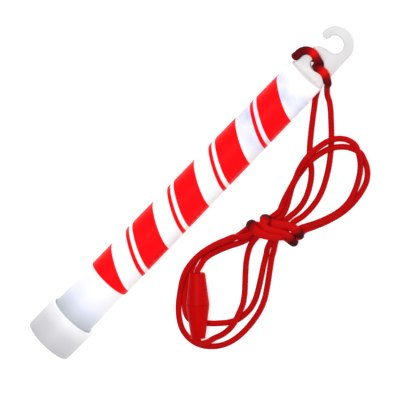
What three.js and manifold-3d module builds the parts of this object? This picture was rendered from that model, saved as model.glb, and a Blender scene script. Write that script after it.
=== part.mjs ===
// A six-inch chemical light stick with a candy-cane stripe and a neck lanyard.
// Millimetres, +Z up. +Y runs along the stick from the capped end to the hook.
// The stick lies on z = 0, the hook tab is level, and the folded lanyard lies on the +X side.
import * as THREE from 'three';
import { mergeVertices } from 'three/addons/utils/BufferGeometryUtils.js';
import Module from 'manifold-3d';

const wasm = await Module();
wasm.setup();

// Driving dimensions
const stickLength = 152;
const gap = 0.3;
const lathe = 48;

const capLength = 12.7;
const capBaseRadius = 8.85;
const capRimRadius = 9.1;
const capFloor = 1.7;
const capCorner = 1.2;
const lipRadius = 0.8;

const tubeRimRadius = 7.75;
const tubeTipRadius = 6.9;
const tubeWall = 1.15;
const tipWall = 1.6;
const tipCorner = 0.5;
const tabLength = 20.8;

const filmThickness = 0.15;
const filmGap = 0.05;
const filmFromRim = 18;
const filmToTip = 7.2;

const plugLength = 5.5;
const ampouleRadius = 4.2;
const ampouleWall = 0.7;
const ampouleLength = 106;
const ampouleFromPlug = 6.5;
const nibBore = 0.4;
const activatorLength = 95;
const dyeLength = 118;

const tabThickness = 2.6;
const tabHalfWidthAtTube = [-6.1, 6.4];
const holeRadius = 2.35;
const holeFromTip = 5.1;
const hookOuterRadius = 6.25;
const hookOuterX = -0.15;
const throatRadius = 3.2;
const throat = new THREE.Vector2(-0.45, 69.4);
const hookTipRadius = 1.65;
const hookTip = new THREE.Vector2(-4.75, 70.3);
const shoulder = new THREE.Vector2(-5.05, 63.6);

const cordDiameter = 1.8;
const claspTop = new THREE.Vector3(20.3, -22.9, 4.8);
const claspBottom = new THREE.Vector3(36.2, -38.9, 6.4);
const claspRadii = { top: 2.7, seam: 4.05, bottom: 2.45 };
const claspSeam = 10.95;
const claspHole = 1.15;
const claspChamber = 2.1;
const claspChamberFrom = 3;
const pinRadius = 1.75;
const pinLength = 3.6;
const stopKnotRadius = 1.6;

// Worked out from the driving dimensions
const capBase = -stickLength / 2;
const capRim = capBase + capLength;
const tubeTip = stickLength / 2 - tabLength;
const tubeFoot = capBase + capFloor + gap;
const plugTop = tubeFoot + plugLength;
const filmFoot = capRim + filmFromRim;
const filmTop = tubeTip - filmToTip;

const point = (x, y) => new THREE.Vector2(x, y);
const place = (x, y, z) => new THREE.Vector3(x, y, z);

// The tube tapers evenly from the cap's rim to its tip, and is straight inside the cap.
function tubeRadiusAt(y) {
  const t = Math.max(0, (y - capRim) / (tubeTip - capRim));
  return THREE.MathUtils.lerp(tubeRimRadius, tubeTipRadius, t);
}

function cornerPoints(cx, cy, radius, fromDeg, toDeg, steps) {
  const points = [];
  for (let i = 0; i <= steps; i += 1) {
    const angle = THREE.MathUtils.degToRad(fromDeg + ((toDeg - fromDeg) * i) / steps);
    points.push(point(cx + radius * Math.cos(angle), cy + radius * Math.sin(angle)));
  }
  return points;
}

function part(name, geometry, color, roughness, more = {}) {
  const material = new THREE.MeshStandardMaterial({ color, roughness, metalness: 0, ...more });
  const mesh = new THREE.Mesh(geometry, material);
  mesh.name = name;
  return mesh;
}

// Booleans work on shared vertices, without the flat triangles that a lathe leaves at its poles.
function toSolid(geometry) {
  const bare = geometry.clone();
  bare.deleteAttribute('normal');
  bare.deleteAttribute('uv');
  const merged = mergeVertices(bare, 1e-4);
  const vertProperties = new Float32Array(merged.attributes.position.array);
  const corners = [];
  for (let i = 0; i < merged.index.count; i += 3) {
    const triangle = [0, 1, 2].map((k) => merged.index.getX(i + k));
    if (new Set(triangle).size === 3) corners.push(...triangle);
  }
  const triVerts = new Uint32Array(corners);
  return new wasm.Manifold(new wasm.Mesh({ numProp: 3, vertProperties, triVerts }));
}

function toGeometry(solid) {
  const mesh = solid.getMesh();
  const geometry = new THREE.BufferGeometry();
  geometry.setAttribute('position', new THREE.BufferAttribute(mesh.vertProperties, 3));
  geometry.setIndex(new THREE.BufferAttribute(mesh.triVerts, 1));
  geometry.computeVertexNormals();
  return geometry;
}

// The moulded tube: open at the capped end, closed at the tip
function tubeShell() {
  const inner = (y) => tubeRadiusAt(y) - tubeWall;
  const profile = [
    point(0, tubeTip - tipWall),
    point(inner(tubeTip) - 0.5, tubeTip - tipWall),
    point(inner(tubeTip), tubeTip - tipWall - 0.5),
    point(inner(capRim), capRim),
    point(inner(tubeFoot), tubeFoot),
    point(tubeRadiusAt(tubeFoot), tubeFoot),
    point(tubeRimRadius, capRim),
    point(tubeRadiusAt(tubeTip), tubeTip - tipCorner),
    ...cornerPoints(tubeTipRadius - tipCorner, tubeTip - tipCorner, tipCorner, 20, 90, 3),
    point(0, tubeTip),
  ];
  return new THREE.LatheGeometry(profile, lathe);
}

// The flat tab on the tip, with the lanyard hole, ending in the open hook
function hookPlate() {
  const hookOuterY = stickLength / 2 - hookOuterRadius;
  const root = tubeTip - tipWall / 2;
  const outline = new THREE.Shape();
  outline.moveTo(tabHalfWidthAtTube[0], root);
  outline.lineTo(tabHalfWidthAtTube[0], tubeTip);
  outline.lineTo(shoulder.x, shoulder.y);
  const throatStart = throat.y - throatRadius;
  outline.quadraticCurveTo(shoulder.x + 0.9, throatStart - 0.3, throat.x, throatStart);
  const meetDeg = 152;
  const meetTipDeg = 20;
  outline.absarc(throat.x, throat.y, throatRadius, -Math.PI / 2, THREE.MathUtils.degToRad(meetDeg), false);
  outline.absarc(hookTip.x, hookTip.y, hookTipRadius, THREE.MathUtils.degToRad(meetTipDeg), -Math.PI, true);
  const start = Math.PI - Math.asin((hookTip.y - hookOuterY) / hookOuterRadius);
  outline.absarc(hookOuterX, hookOuterY, hookOuterRadius, start, 0, true);
  outline.lineTo(tabHalfWidthAtTube[1], tubeTip);
  outline.lineTo(tabHalfWidthAtTube[1], root);
  outline.closePath();
  const hole = new THREE.Path();
  hole.absarc(0, tubeTip + holeFromTip, holeRadius, 0, Math.PI * 2, false);
  outline.holes.push(hole);
  const plate = new THREE.ExtrudeGeometry(outline, { depth: tabThickness, bevelEnabled: false, curveSegments: 20 });
  plate.translate(0, 0, -tabThickness / 2);
  return plate;
}

function tubeAndHook() {
  const joined = toSolid(tubeShell()).add(toSolid(hookPlate()));
  return part('tube_and_hook', toGeometry(joined), 0xf2f2f5, 0.35);
}

function stripeFilm() {
  const inner = (y) => tubeRadiusAt(y) + filmGap;
  const profile = [
    point(inner(filmFoot), filmFoot),
    point(inner(filmFoot) + filmThickness, filmFoot),
    point(inner(filmTop) + filmThickness, filmTop),
    point(inner(filmTop), filmTop),
    point(inner(filmFoot), filmFoot),
  ];
  return part('stripe_film', new THREE.LatheGeometry(profile, lathe), 0xfe0f17, 0.25);
}

function endCap() {
  const profile = [
    point(0, capBase),
    ...cornerPoints(capBaseRadius - capCorner, capBase + capCorner, capCorner, -90, 0, 4),
    ...cornerPoints(capRimRadius - lipRadius, capRim - lipRadius, lipRadius, 0, 90, 4),
    point(tubeRimRadius + gap, capRim),
    point(tubeRimRadius + gap, capBase + capFloor),
    point(0, capBase + capFloor),
  ];
  return part('end_cap', new THREE.LatheGeometry(profile, lathe), 0xd9d9dc, 0.4);
}

function tubePlug() {
  const radius = tubeRimRadius - tubeWall - gap;
  const profile = [
    point(0, tubeFoot),
    point(radius, tubeFoot),
    point(radius, plugTop - 1),
    point(radius - 1, plugTop),
    point(0, plugTop),
  ];
  return part('tube_plug', new THREE.LatheGeometry(profile, lathe), 0xe8e8e8, 0.5);
}

// The glass ampoule, with the drawn nib at the hook end left open by a hair
function ampoule() {
  const foot = plugTop + ampouleFromPlug;
  const top = foot + ampouleLength;
  const bore = ampouleRadius - ampouleWall;
  const profile = [
    ...cornerPoints(0, foot + ampouleRadius, ampouleRadius, -90, 0, 6),
    point(ampouleRadius, top - ampouleRadius),
    point(ampouleRadius * 0.6, top - 1.6),
    point(nibBore * 2.5, top),
    point(nibBore, top),
    point(nibBore, top - 1.6),
    point(bore, top - ampouleRadius),
    ...cornerPoints(0, foot + ampouleRadius, bore, 0, -90, 6),
  ];
  profile[0].x = 0;
  profile[profile.length - 1].x = 0;
  return part('ampoule', new THREE.LatheGeometry(profile, 32), 0xdfe8ee, 0.05, { transparent: true, opacity: 0.4 });
}

function activatorFluid() {
  const foot = plugTop + ampouleFromPlug + ampouleRadius;
  const radius = ampouleRadius - ampouleWall - gap;
  const rod = new THREE.CylinderGeometry(radius, radius, activatorLength, 32);
  rod.translate(0, foot + activatorLength / 2, 0);
  return part('activator_fluid', rod, 0xdfeaf5, 0.1, { transparent: true, opacity: 0.6 });
}

function dyeSolution() {
  const foot = plugTop + gap;
  const top = foot + dyeLength;
  const outer = (y) => tubeRadiusAt(y) - tubeWall - gap;
  const bore = ampouleRadius + gap;
  const profile = [
    point(bore, foot),
    point(outer(foot), foot),
    point(outer(capRim), capRim),
    point(outer(top), top),
    point(bore, top),
    point(bore, foot),
  ];
  return part('dye_solution', new THREE.LatheGeometry(profile, 32), 0xe9ecff, 0.1, { transparent: true, opacity: 0.6 });
}

// A cord stretch: an eight-sided tube along a smooth curve through its points
function cordStretch(name, points, steps) {
  const curve = new THREE.CatmullRomCurve3(points.map((p) => place(...p)), false, 'centripetal');
  const section = new THREE.Shape();
  section.setFromPoints(cornerPoints(0, 0, cordDiameter / 2, 0, 315, 7));
  const tube = new THREE.ExtrudeGeometry(section, { steps, extrudePath: curve });
  return part(name, tube, 0xbe0408, 0.7);
}

// Where the cord runs through and round the tab, in the stick's own frame
const hitchArch = [
  [7.6, 49.9, -6.15], [6.9, 51.0, -6.15], [5.7, 53.4, -6.1], [4.9, 56.3, -6.0], [3.7, 58.6, -4.7],
  [1.9, 60.2, -3.5], [-0.4, 60.3, -3.2], [-2.8, 59.4, -2.9], [-5.2, 57.7, -2.9],
  [-7.05, 56.9, -1.7], [-7.35, 56.6, 0.2], [-7.3, 56.9, 2.0], [-7.1, 58.0, 2.65],
  [-7.05, 59.4, 2.6], [-6.55, 60.8, 2.6], [-5.6, 61.85, 2.6], [-4.4, 62.4, 2.6], [-3.2, 62.5, 2.6],
  [-2.0, 62.2, 2.6], [-1.0, 61.8, 2.5], [-0.2, 61.35, 1.7], [0, 61.25, 0.3], [0, 61.35, -0.6],
];
const hitchLobe = [
  [0, 61.35, -1.2], [0, 62.2, -2.3], [0, 62.6, -3.6], [0, 62.0, -4.9], [0, 60.3, -5.6],
  [0, 58.6, -4.9], [0, 58.0, -3.6], [0, 58.4, -2.3], [0, 59.1, -1.2], [0, 59.15, 0.2],
  [0.6, 59.5, 1.7], [2.0, 60.1, 2.5], [3.8, 60.2, 2.7], [5.2, 59.7, 2.6], [6.4, 58.9, 2.45],
  [7.4, 58.05, 1.5], [7.7, 57.15, 0], [7.8, 56.5, -1.4], [8.0, 55.9, -2.9], [8.8, 54.7, -4.4],
  [10.0, 53.4, -5.5],
];

// The lanyard on the floor, from the hitch through the tie to the clasp
const strandOne = [
  [8.05, 48.98, 0.97], [9.36, 47.2, 0.95], [11.69, 43.92, 0.95], [14.77, 39.78, 0.95],
  [18.08, 35.57, 0.95], [21.0, 32.6, 0.95], [23.32, 30.83, 0.95], [25.77, 28.05, 0.95],
  [28.14, 24.07, 0.95], [29.54, 20.07, 0.95], [29.88, 16.51, 1.3], [29.57, 13.39, 2.2],
];
const strandTwo = [
  [10.3, 53.0, 1.9], [12.01, 52.08, 1.1], [14.19, 50.25, 0.95], [16.7, 47.84, 0.95],
  [19.25, 45.29, 0.95], [21.87, 42.48, 0.95], [24.33, 39.51, 0.95], [26.83, 36.09, 0.95],
  [29.26, 32.04, 0.95], [31.18, 28.03, 0.95], [32.37, 24.01, 0.95], [32.8, 20.0, 0.95],
  [32.64, 16.56, 1.6], [31.87, 13.56, 3.1],
];
const rightLoops = [
  [26.5, 12.38, 2.2], [24.93, 16.52, 1.9], [23.3, 20.64, 1.9], [21.92, 24.9, 2.3],
  [20.94, 29.17, 3.2], [20.56, 33.57, 3.9], [21.09, 38.0, 3.9], [22.54, 42.18, 3.8],
  [25.36, 45.53, 3.0], [29.41, 47.14, 2.1], [33.55, 45.83, 1.9], [36.97, 43.04, 1.9],
  [39.19, 39.21, 1.9], [40.55, 34.98, 1.9], [41.1, 30.61, 1.9], [40.64, 26.17, 1.9],
  [39.43, 21.85, 1.9], [37.75, 17.69, 1.9], [35.81, 13.75, 2.6],
];
const outerLoop = [
  [23.7, -1.0, 4.3], [22.6, -3.2, 3.7], [20.63, -5.3, 3.0], [19.53, -7.82, 2.85],
  [18.11, -11.39, 2.85], [17.1, -14.95, 2.85], [16.53, -18.49, 2.85], [16.5, -22.1, 2.85],
  [17.07, -25.75, 2.5], [18.41, -29.28, 1.6], [20.76, -33.17, 1.0], [23.48, -36.83, 0.95],
  [26.66, -39.9, 0.95], [30.08, -41.93, 0.95], [33.7, -42.58, 0.95], [37.33, -41.93, 0.95],
  [40.74, -39.8, 0.95], [43.63, -36.25, 0.95], [45.26, -32.07, 0.95], [45.77, -27.51, 0.95],
  [45.57, -22.98, 0.95], [44.65, -17.95, 0.95], [43.04, -13.86, 0.95], [40.57, -9.81, 0.95],
  [37.15, -4.82, 0.95], [34.97, -1.59, 1.2], [33.78, 0.9, 2.2],
];
const innerLoop = [
  [21.9, -1.0, 2.6], [21.6, -3.3, 1.3], [21.1, -5.7, 0.95], [20.15, -8.1, 0.95],
  [18.6, -11.55, 0.95], [17.4, -15.05, 0.95], [16.8, -18.51, 0.95], [17.05, -21.45, 0.95],
  [17.98, -24.23, 0.95], [19.18, -26.79, 0.95], [20.37, -28.95, 0.95], [22.04, -31.88, 0.95],
  [23.91, -34.28, 0.95], [26.14, -36.32, 0.95], [28.51, -37.55, 0.95], [30.77, -37.52, 0.95],
  [32.91, -36.29, 0.95], [34.65, -34.41, 0.95], [36.35, -32.85, 0.95], [37.79, -31.25, 0.95],
  [39.7, -28.93, 0.95], [41.26, -26.07, 0.95], [41.9, -22.6, 0.95], [41.82, -19.58, 0.95],
  [40.86, -16.23, 0.95], [39.0, -12.6, 0.95], [36.93, -9.11, 0.95], [34.7, -5.46, 0.95],
  [32.87, -2.15, 1.2], [31.67, -0.05, 1.9],
];
const leadUpper = [
  [20.05, -22.65, 4.77], [19.67, -21.75, 4.6], [19.37, -20.52, 3.8], [18.85, -18.6, 2.3],
  [19.15, -16.22, 1.2], [19.9, -13.84, 0.95], [21.01, -10.95, 0.95], [22.28, -8.24, 0.95],
  [23.7, -5.5, 1.0], [24.5, -3.0, 1.6], [24.8, -1.0, 2.2],
];
const leadLower = [
  [36.45, -39.15, 6.43], [37.19, -39.88, 6.3], [38.42, -39.72, 5.4], [39.52, -38.06, 4.0],
  [40.1, -35.94, 2.6], [41.13, -33.43, 1.6], [41.57, -30.61, 2.0], [41.5, -27.99, 2.9],
  [41.0, -25.77, 3.0], [40.16, -23.28, 2.7], [38.99, -20.55, 1.5], [36.97, -17.62, 0.95],
  [34.6, -14.8, 0.95], [31.9, -11.7, 0.95], [29.55, -8.78, 0.95], [27.88, -6.1, 1.1],
  [26.85, -3.55, 2.2], [26.47, -1.19, 3.6],
];

// Both turns of the right-hand loop as one solid, wider than it is tall
function rightLoopSolid() {
  const curve = new THREE.CatmullRomCurve3(rightLoops.map((p) => place(...p)), false, 'centripetal');
  const halfHeight = 1.75;
  const halfWidth = 2.0;
  const section = new THREE.Shape();
  section.absellipse(0, 0, halfHeight, halfWidth, 0, Math.PI * 2, false, 0);
  const ring = new THREE.ExtrudeGeometry(section, { steps: 18, curveSegments: 5, extrudePath: curve });
  return part('lanyard_right_loops', ring, 0xbe0408, 0.7);
}

// The tie at the lanyard's waist, as one solid of its outer shape
const tieHeight = 7.3;
const tieOutline = [
  [22.0, -0.4], [20.4, 2.3], [21.4, 4.6], [22.7, 6.2], [24.0, 9.0], [26.6, 11.6], [29.5, 12.7],
  [33.5, 13.0], [37.0, 12.6], [38.0, 10.4], [38.1, 7.3], [36.6, 5.8], [34.4, 4.8], [32.4, 2.4],
  [30.0, 1.0], [27.0, -0.4],
];

function tieSolid() {
  const round = 0.9;
  const outline = new THREE.Shape(tieOutline.map((p) => point(...p)));
  const slab = new THREE.ExtrudeGeometry(outline, {
    depth: tieHeight - 2 * round,
    bevelEnabled: true,
    bevelSize: round,
    bevelOffset: -round,
    bevelThickness: round,
    bevelSegments: 2,
  });
  slab.translate(0, 0, round + 0.05);
  return part('lanyard_tie', slab, 0x8a0206, 0.7);
}

// The breakaway clasp: a barrel in two halves on one slanting axis
const claspVector = claspBottom.clone().sub(claspTop);
const claspLength = claspVector.length();

function onClasp(mesh) {
  mesh.quaternion.setFromUnitVectors(place(0, 1, 0), claspVector.clone().normalize());
  mesh.position.copy(claspTop);
  return mesh;
}

function claspSocket() {
  const round = 0.4;
  const end = claspSeam - gap / 2;
  const profile = [
    point(claspHole, 0),
    point(claspRadii.top - round, 0),
    point(claspRadii.top, round),
    point(claspRadii.seam, end),
    point(claspChamber, end),
    point(claspChamber, claspChamberFrom),
    point(claspHole, claspChamberFrom),
    point(claspHole, 0),
  ];
  return onClasp(part('clasp_socket', new THREE.LatheGeometry(profile, 32), 0xc60408, 0.35));
}

function claspPin() {
  const round = 0.4;
  const face = claspSeam + gap / 2;
  const wall = 0.7;
  const chamberEnd = claspLength - claspChamberFrom;
  const profile = [
    point(pinRadius - wall, face - pinLength),
    point(pinRadius - wall, face + 1.4),
    point(claspChamber - 0.3, face + 1.4),
    point(claspChamber - 0.3, chamberEnd),
    point(claspHole, chamberEnd),
    point(claspHole, claspLength),
    point(claspRadii.bottom - round, claspLength),
    point(claspRadii.bottom, claspLength - round),
    point(claspRadii.seam, face),
    point(pinRadius, face),
    point(pinRadius, face - pinLength + 0.4),
    point(pinRadius - 0.3, face - pinLength),
    point(pinRadius - wall, face - pinLength),
  ];
  const mesh = part('clasp_pin', new THREE.LatheGeometry(profile.reverse(), 32), 0xc60408, 0.35);
  return onClasp(mesh);
}

function stopKnot(name, along) {
  const knot = new THREE.SphereGeometry(stopKnotRadius, 12, 8);
  knot.translate(0, along, 0);
  return onClasp(part(name, knot, 0xbe0408, 0.7));
}

// The stick leans on its cap rim and on the film's edge near the tip.
const rimContact = capRim - lipRadius;
const filmContactRadius = tubeRadiusAt(filmTop) + filmGap + filmThickness;
const lie = Math.asin((capRimRadius - filmContactRadius) / (filmTop - rimContact));

const stick = new THREE.Group();
stick.add(tubeAndHook(), stripeFilm(), endCap(), tubePlug(), ampoule(), activatorFluid(), dyeSolution());
stick.add(cordStretch('lanyard_hitch_arch', hitchArch, 17));
stick.add(cordStretch('lanyard_hitch_lobe', hitchLobe, 19));
stick.rotation.x = -lie;
stick.position.z = capRimRadius * Math.cos(lie) + rimContact * Math.sin(lie);

const group = new THREE.Group();
group.add(stick);
group.add(cordStretch('lanyard_strand_one', strandOne, 5));
group.add(cordStretch('lanyard_strand_two', strandTwo, 6));
group.add(rightLoopSolid());
group.add(cordStretch('lanyard_outer_loop', outerLoop, 17));
group.add(cordStretch('lanyard_inner_loop', innerLoop, 15));
group.add(cordStretch('lanyard_lead_upper', leadUpper, 6));
group.add(cordStretch('lanyard_lead_lower', leadLower, 10));
group.add(tieSolid());
group.add(claspSocket(), claspPin());
group.add(stopKnot('stop_knot_upper', claspChamberFrom + gap + stopKnotRadius));
group.add(stopKnot('stop_knot_lower', claspLength - claspChamberFrom - gap - stopKnotRadius));

export default group;
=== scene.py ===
import math

import bmesh
import bpy
import numpy as np
from mathutils import Matrix, Vector


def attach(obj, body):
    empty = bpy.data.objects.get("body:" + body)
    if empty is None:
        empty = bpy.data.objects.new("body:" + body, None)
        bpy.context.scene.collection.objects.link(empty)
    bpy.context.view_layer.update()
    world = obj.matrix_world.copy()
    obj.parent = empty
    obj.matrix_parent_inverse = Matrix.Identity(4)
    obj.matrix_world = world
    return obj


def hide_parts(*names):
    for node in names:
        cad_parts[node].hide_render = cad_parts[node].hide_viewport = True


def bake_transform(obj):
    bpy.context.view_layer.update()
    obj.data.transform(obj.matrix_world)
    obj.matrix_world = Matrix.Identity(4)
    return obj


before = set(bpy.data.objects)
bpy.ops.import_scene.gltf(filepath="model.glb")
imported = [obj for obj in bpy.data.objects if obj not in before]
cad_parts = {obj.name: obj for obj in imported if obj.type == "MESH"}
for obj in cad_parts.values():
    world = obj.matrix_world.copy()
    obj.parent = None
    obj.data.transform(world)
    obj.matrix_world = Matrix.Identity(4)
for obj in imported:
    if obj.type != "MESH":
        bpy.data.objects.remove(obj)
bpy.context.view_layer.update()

scene = bpy.context.scene
scene.view_settings.view_transform = "Standard"

# Camera: a long lens above the stick and a little towards its hook, turned
# so that the stick runs from the lower left corner to the upper right.
CAMERA_TILT = math.radians(15.0)
CAMERA_ROLL = math.radians(45.83)
CAMERA_TARGET = Vector((0.00359, -0.0028, 0.00803))
CAMERA_DISTANCE = 5.5
CAMERA_CLIP_END = 20
VIEW_WIDTH = 0.1368

camera_data = bpy.data.cameras.new("camera")
camera = bpy.data.objects.new("camera", camera_data)
scene.collection.objects.link(camera)
towards = Vector((0, math.sin(CAMERA_TILT), math.cos(CAMERA_TILT)))
across = Vector((0, math.cos(CAMERA_TILT), -math.sin(CAMERA_TILT)))
right = math.sin(CAMERA_ROLL) * Vector((1, 0, 0)) + math.cos(CAMERA_ROLL) * across
up = -math.cos(CAMERA_ROLL) * Vector((1, 0, 0)) + math.sin(CAMERA_ROLL) * across
camera.matrix_world = Matrix.Translation(CAMERA_TARGET + towards * CAMERA_DISTANCE) @ (
    Matrix((right, up, towards)).transposed().to_4x4()
)
camera_data.lens = camera_data.sensor_width * CAMERA_DISTANCE / VIEW_WIDTH
camera_data.clip_end = CAMERA_CLIP_END
scene.camera = camera

# The lanyard: one length of soft braided polyester cord, dyed red, 1.8 mm across.
# It goes from the clasp through the tie, twice round each loop, through the hole
# in the tab as a hitch, and back through the tie to the other half of the clasp.
MM = 0.001
CORD_DIAMETER = 1.8 * MM
LYING_WIDTH = 2.12 * MM
LYING_HEIGHT = 1.75 * MM
CORD_SIDES = 32
CORD_STEP = 0.27 * MM
BRAID_CELLS = 8
BRAID_PITCH = 1.1 * MM
BRAID_RELIEF = 0.055 * MM
STICK_LIE = math.radians(0.99588)
STICK_HEIGHT = 7.9845 * MM
HITCH_WIDTH = 3.0 * MM
HITCH_HEIGHT = 1.75 * MM
HITCH_MIDDLE = 60.3

from_stick = Matrix.Translation((0, 0, STICK_HEIGHT)) @ Matrix.Rotation(-STICK_LIE, 4, "X")

CLASP_LEAD_UPPER = [
    (20.05, -22.65, 4.77), (19.67, -21.75, 4.6), (19.37, -20.52, 3.8), (18.85, -18.6, 2.3),
    (19.15, -16.22, 1.2), (19.9, -13.84, 0.95), (21.01, -10.95, 0.95), (22.28, -8.24, 0.95),
    (23.7, -5.5, 1.0), (24.5, -3.0, 1.6), (24.8, -1.0, 2.2),
]
CLASP_LEAD_LOWER = [
    (36.45, -39.15, 6.43), (37.05, -39.72, 6.3), (38.1, -39.75, 5.4), (39.3, -38.35, 4.0),
    (40.1, -35.94, 2.6), (41.13, -33.43, 1.6), (41.57, -30.61, 2.0), (41.5, -27.99, 2.9),
    (41.0, -25.77, 3.0), (40.16, -23.28, 2.7), (38.99, -20.55, 1.5), (36.97, -17.62, 0.95),
    (34.6, -14.8, 0.95), (31.9, -11.7, 0.95), (29.55, -8.78, 0.95), (27.88, -6.1, 1.1), (26.85, -3.55, 2.2),
    (26.47, -1.19, 3.6), (26.35, 1.2, 4.5), (26.6, 3.4, 4.6),
]
NEAR_RIGHT_LOOP = [
    (25.68, 12.51, 2.4), (24.78, 14.86, 1.9), (23.85, 17.55, 2.1), (23.08, 20.6, 2.7), (21.99, 24.57, 3.0),
    (20.68, 28.08, 3.7), (19.95, 31.52, 4.2), (19.63, 35.01, 4.2), (20.07, 38.57, 3.6), (20.93, 42.16, 3.0),
    (22.91, 45.44, 2.6), (25.71, 47.36, 2.4), (28.63, 47.87, 2.6), (30.95, 46.88, 2.8), (33.7, 44.99, 2.8),
    (35.7, 42.69, 2.2), (37.52, 39.74, 1.5), (39.24, 36.06, 1.2), (40.47, 32.04, 2.3), (40.5, 27.99, 2.65),
    (39.6, 23.93, 2.6), (38.13, 19.89, 2.55), (36.16, 15.8, 2.4), (35.12, 13.83, 2.6),
]
FAR_RIGHT_LOOP = [
    (27.33, 12.25, 1.6), (26.39, 15.08, 1.0), (24.75, 18.18, 0.95), (23.1, 21.27, 0.95),
    (22.05, 24.75, 1.1), (21.57, 28.23, 1.9), (21.27, 31.51, 2.75), (21.52, 34.45, 2.85),
    (22.09, 37.43, 2.85), (23.03, 40.42, 2.85), (24.75, 43.14, 2.6), (26.99, 45.12, 1.9),
    (29.49, 46.22, 1.1), (31.8, 46.74, 0.95), (33.99, 46.07, 0.95), (36.27, 45.0, 0.95),
    (38.34, 43.33, 0.95), (39.9, 41.11, 0.95), (40.88, 38.48, 0.95), (41.55, 35.04, 0.95),
    (41.79, 31.5, 0.95), (41.57, 27.94, 0.95), (40.7, 23.91, 0.95), (39.33, 19.86, 0.95),
    (37.74, 16.1, 0.95), (36.5, 13.67, 2.0),
]
OUTER_LOOP = [
    (23.7, -1.0, 4.3), (22.6, -3.2, 3.7), (20.63, -5.3, 3.0), (19.53, -7.82, 2.85), (18.11, -11.39, 2.85),
    (17.1, -14.95, 2.85), (16.53, -18.49, 2.85), (16.5, -22.1, 2.85), (17.07, -25.75, 2.5),
    (18.41, -29.28, 1.6), (20.76, -33.17, 1.0), (23.48, -36.83, 0.95), (26.66, -39.9, 0.95),
    (30.08, -41.93, 0.95), (33.7, -42.58, 0.95), (37.33, -41.93, 0.95), (40.74, -39.8, 0.95),
    (43.63, -36.25, 0.95), (45.26, -32.07, 0.95), (45.77, -27.51, 0.95), (45.57, -22.98, 0.95),
    (44.65, -17.95, 0.95), (43.04, -13.86, 0.95), (40.57, -9.81, 0.95), (37.15, -4.82, 0.95),
    (34.97, -1.59, 1.2), (33.78, 0.9, 2.2),
]
INNER_LOOP = [
    (21.9, -1.0, 2.6), (21.6, -3.3, 1.3), (21.1, -5.7, 0.95), (20.15, -8.1, 0.95), (18.6, -11.55, 0.95),
    (17.4, -15.05, 0.95), (16.8, -18.51, 0.95), (17.05, -21.45, 0.95), (17.98, -24.23, 0.95),
    (19.18, -26.79, 0.95), (20.37, -28.95, 0.95), (22.04, -31.88, 0.95), (23.91, -34.28, 0.95),
    (26.14, -36.32, 0.95), (28.51, -37.55, 0.95), (30.77, -37.52, 0.95), (32.91, -36.29, 0.95),
    (34.65, -34.41, 0.95), (36.35, -32.85, 0.95), (37.79, -31.25, 0.95), (39.7, -28.93, 0.95),
    (41.26, -26.07, 0.95), (41.9, -22.6, 0.95), (41.82, -19.58, 0.95), (40.86, -16.23, 0.95),
    (39.0, -12.6, 0.95), (36.93, -9.11, 0.95), (34.7, -5.46, 0.95), (32.87, -2.15, 1.2),
    (31.67, -0.05, 1.9),
]
STRAND_ONE = [
    (8.05, 48.98, 0.97), (9.36, 47.2, 0.95), (11.69, 43.92, 0.95), (14.77, 39.78, 0.95),
    (18.08, 35.57, 0.95), (21.0, 32.6, 0.95), (23.32, 30.83, 0.95), (25.77, 28.05, 0.95),
    (28.14, 24.07, 0.95), (29.54, 20.07, 0.95), (29.88, 16.51, 1.3), (29.57, 13.39, 2.2),
]
STRAND_TWO = [
    (12.01, 52.08, 1.1), (14.19, 50.25, 0.95), (16.7, 47.84, 0.95), (19.25, 45.29, 0.95),
    (21.87, 42.48, 0.95), (24.33, 39.51, 0.95), (26.83, 36.09, 0.95), (29.26, 32.04, 0.95),
    (31.18, 28.03, 0.95), (32.37, 24.01, 0.95), (32.8, 20.0, 0.95), (32.64, 16.56, 1.6),
    (31.87, 13.56, 3.1),
]
HITCH_ARCH = [
    (6.9, 51.0, -6.15), (5.7, 53.4, -6.1), (4.9, 56.3, -6.0), (3.7, 58.6, -4.7), (1.9, 60.2, -3.5),
    (-0.4, 60.3, -3.2), (-2.8, 59.4, -2.9), (-5.2, 57.7, -2.9), (-7.05, 56.9, -1.7), (-7.35, 56.6, 0.2),
    (-7.3, 56.9, 2.0), (-7.1, 58.0, 2.65), (-7.05, 59.4, 2.6), (-6.55, 60.8, 2.6), (-5.6, 61.85, 2.6),
    (-4.4, 62.4, 2.6), (-3.2, 62.5, 2.6), (-2.0, 62.2, 2.6), (-1.0, 61.8, 2.5), (-0.2, 61.35, 1.7),
    (0, 61.25, 0.3), (0, 61.35, -0.9),
]
HITCH_LOBE = [
    (0, 61.35, -0.9), (0, 62.2, -2.3), (0, 62.6, -3.6), (0, 62.0, -4.9), (0, 60.3, -5.6), (0, 58.6, -4.9),
    (0, 58.0, -3.6), (0, 58.4, -2.3), (0, 59.1, -1.2), (0, 59.15, 0.2), (0.6, 59.5, 1.7), (2.0, 60.1, 2.5),
    (3.8, 60.2, 2.7), (5.2, 59.7, 2.6), (6.4, 58.9, 2.45), (7.4, 58.05, 1.5), (7.7, 57.15, 0),
    (7.8, 56.5, -1.4), (8.0, 55.9, -2.9), (8.8, 54.7, -4.4), (10.0, 53.4, -5.5),
]
TIE_FOOT = 3.4
TIE_DEPTH = 5.8
LOWER_LAYER = 2.75
UPPER_LAYER = 4.6
CORD_END_DEPTHS = (3.4, 2.2, 1.0)


def off_stick(points):
    """Points given along the stick's own axis, in the frame's axes."""
    return [tuple(from_stick @ (Vector(p) * MM) / MM) for p in points]


def through_tie(foot_x, head_x, layer):
    """The straight way of a strand through the tie, in one of its two layers."""
    return [
        (foot_x + (head_x - foot_x) * t, TIE_FOOT + TIE_DEPTH * t, layer)
        for t in (0.0, 0.35, 0.65, 1.0)
    ]


def run_of(line):
    """How far along the line each of its points lies."""
    return np.concatenate([[0], np.cumsum(np.linalg.norm(np.diff(line, axis=0), axis=1))])


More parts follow.
